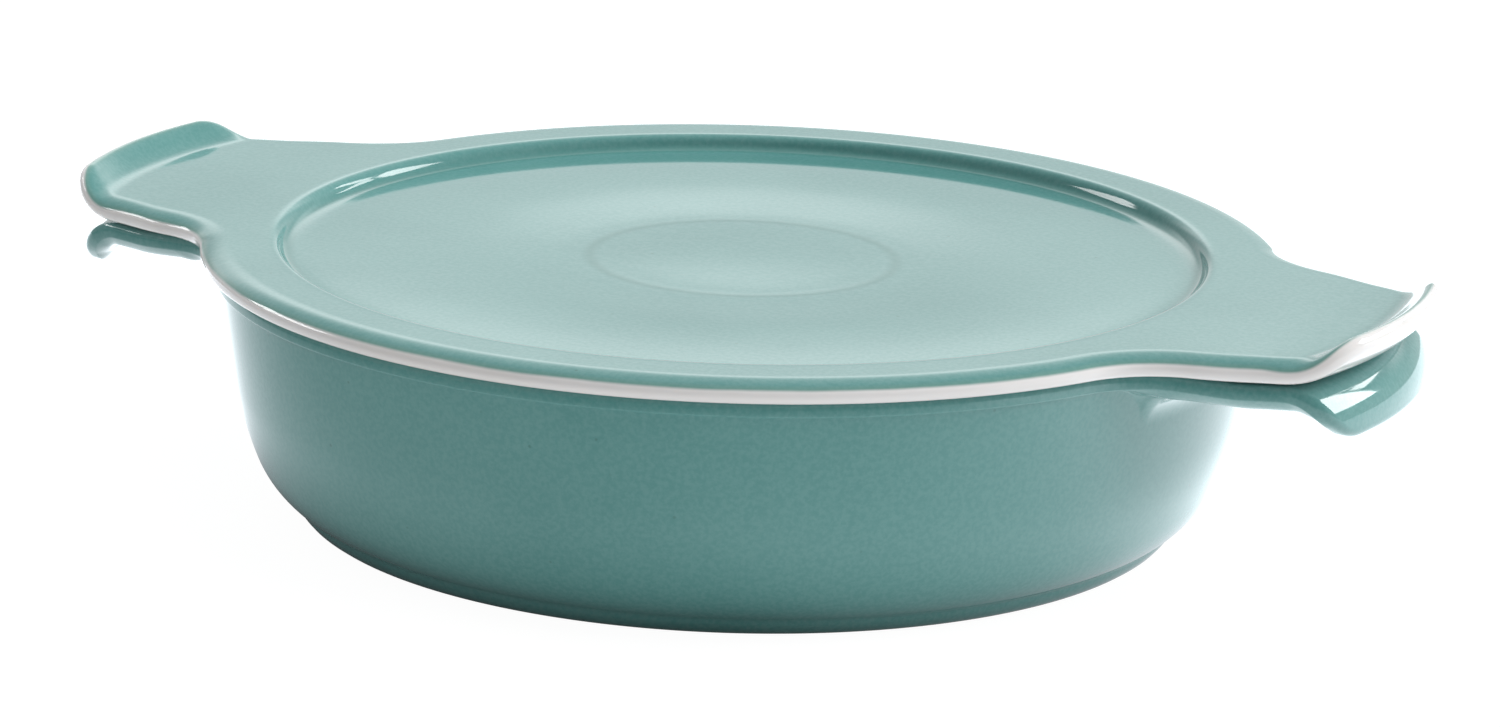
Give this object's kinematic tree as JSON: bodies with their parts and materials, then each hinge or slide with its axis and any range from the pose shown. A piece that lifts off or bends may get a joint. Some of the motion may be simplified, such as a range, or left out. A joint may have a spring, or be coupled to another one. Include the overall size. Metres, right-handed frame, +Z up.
{
  "type": "covered casserole dish",
  "caption": "Round glazed ceramic casserole dish with a foot ring, side tab handles that curl down, and a flat flanged lid whose matching handles curl up.",
  "frame": {"origin": "centre of the foot ring, on the plane it rests on", "axes": "+Z up through the lid, +X along the handles"},
  "size_m": [0.3128, 0.24, 0.0654],
  "materials": {
    "dish_glaze": "glossy sea-green glaze over white porcelain",
    "lid_glaze": "glossy sea-green glaze above, white glaze below"
  },
  "bodies": {
    "dish": {"dish": "dish_glaze"},
    "lid": {"lid": "lid_glaze"}
  },
  "joints": [
    {"name": "lid_lift", "type": "slide", "parent": "dish", "child": "lid", "axis": [0, 0, 1], "range_m": [0, 0.12]}
  ]
}
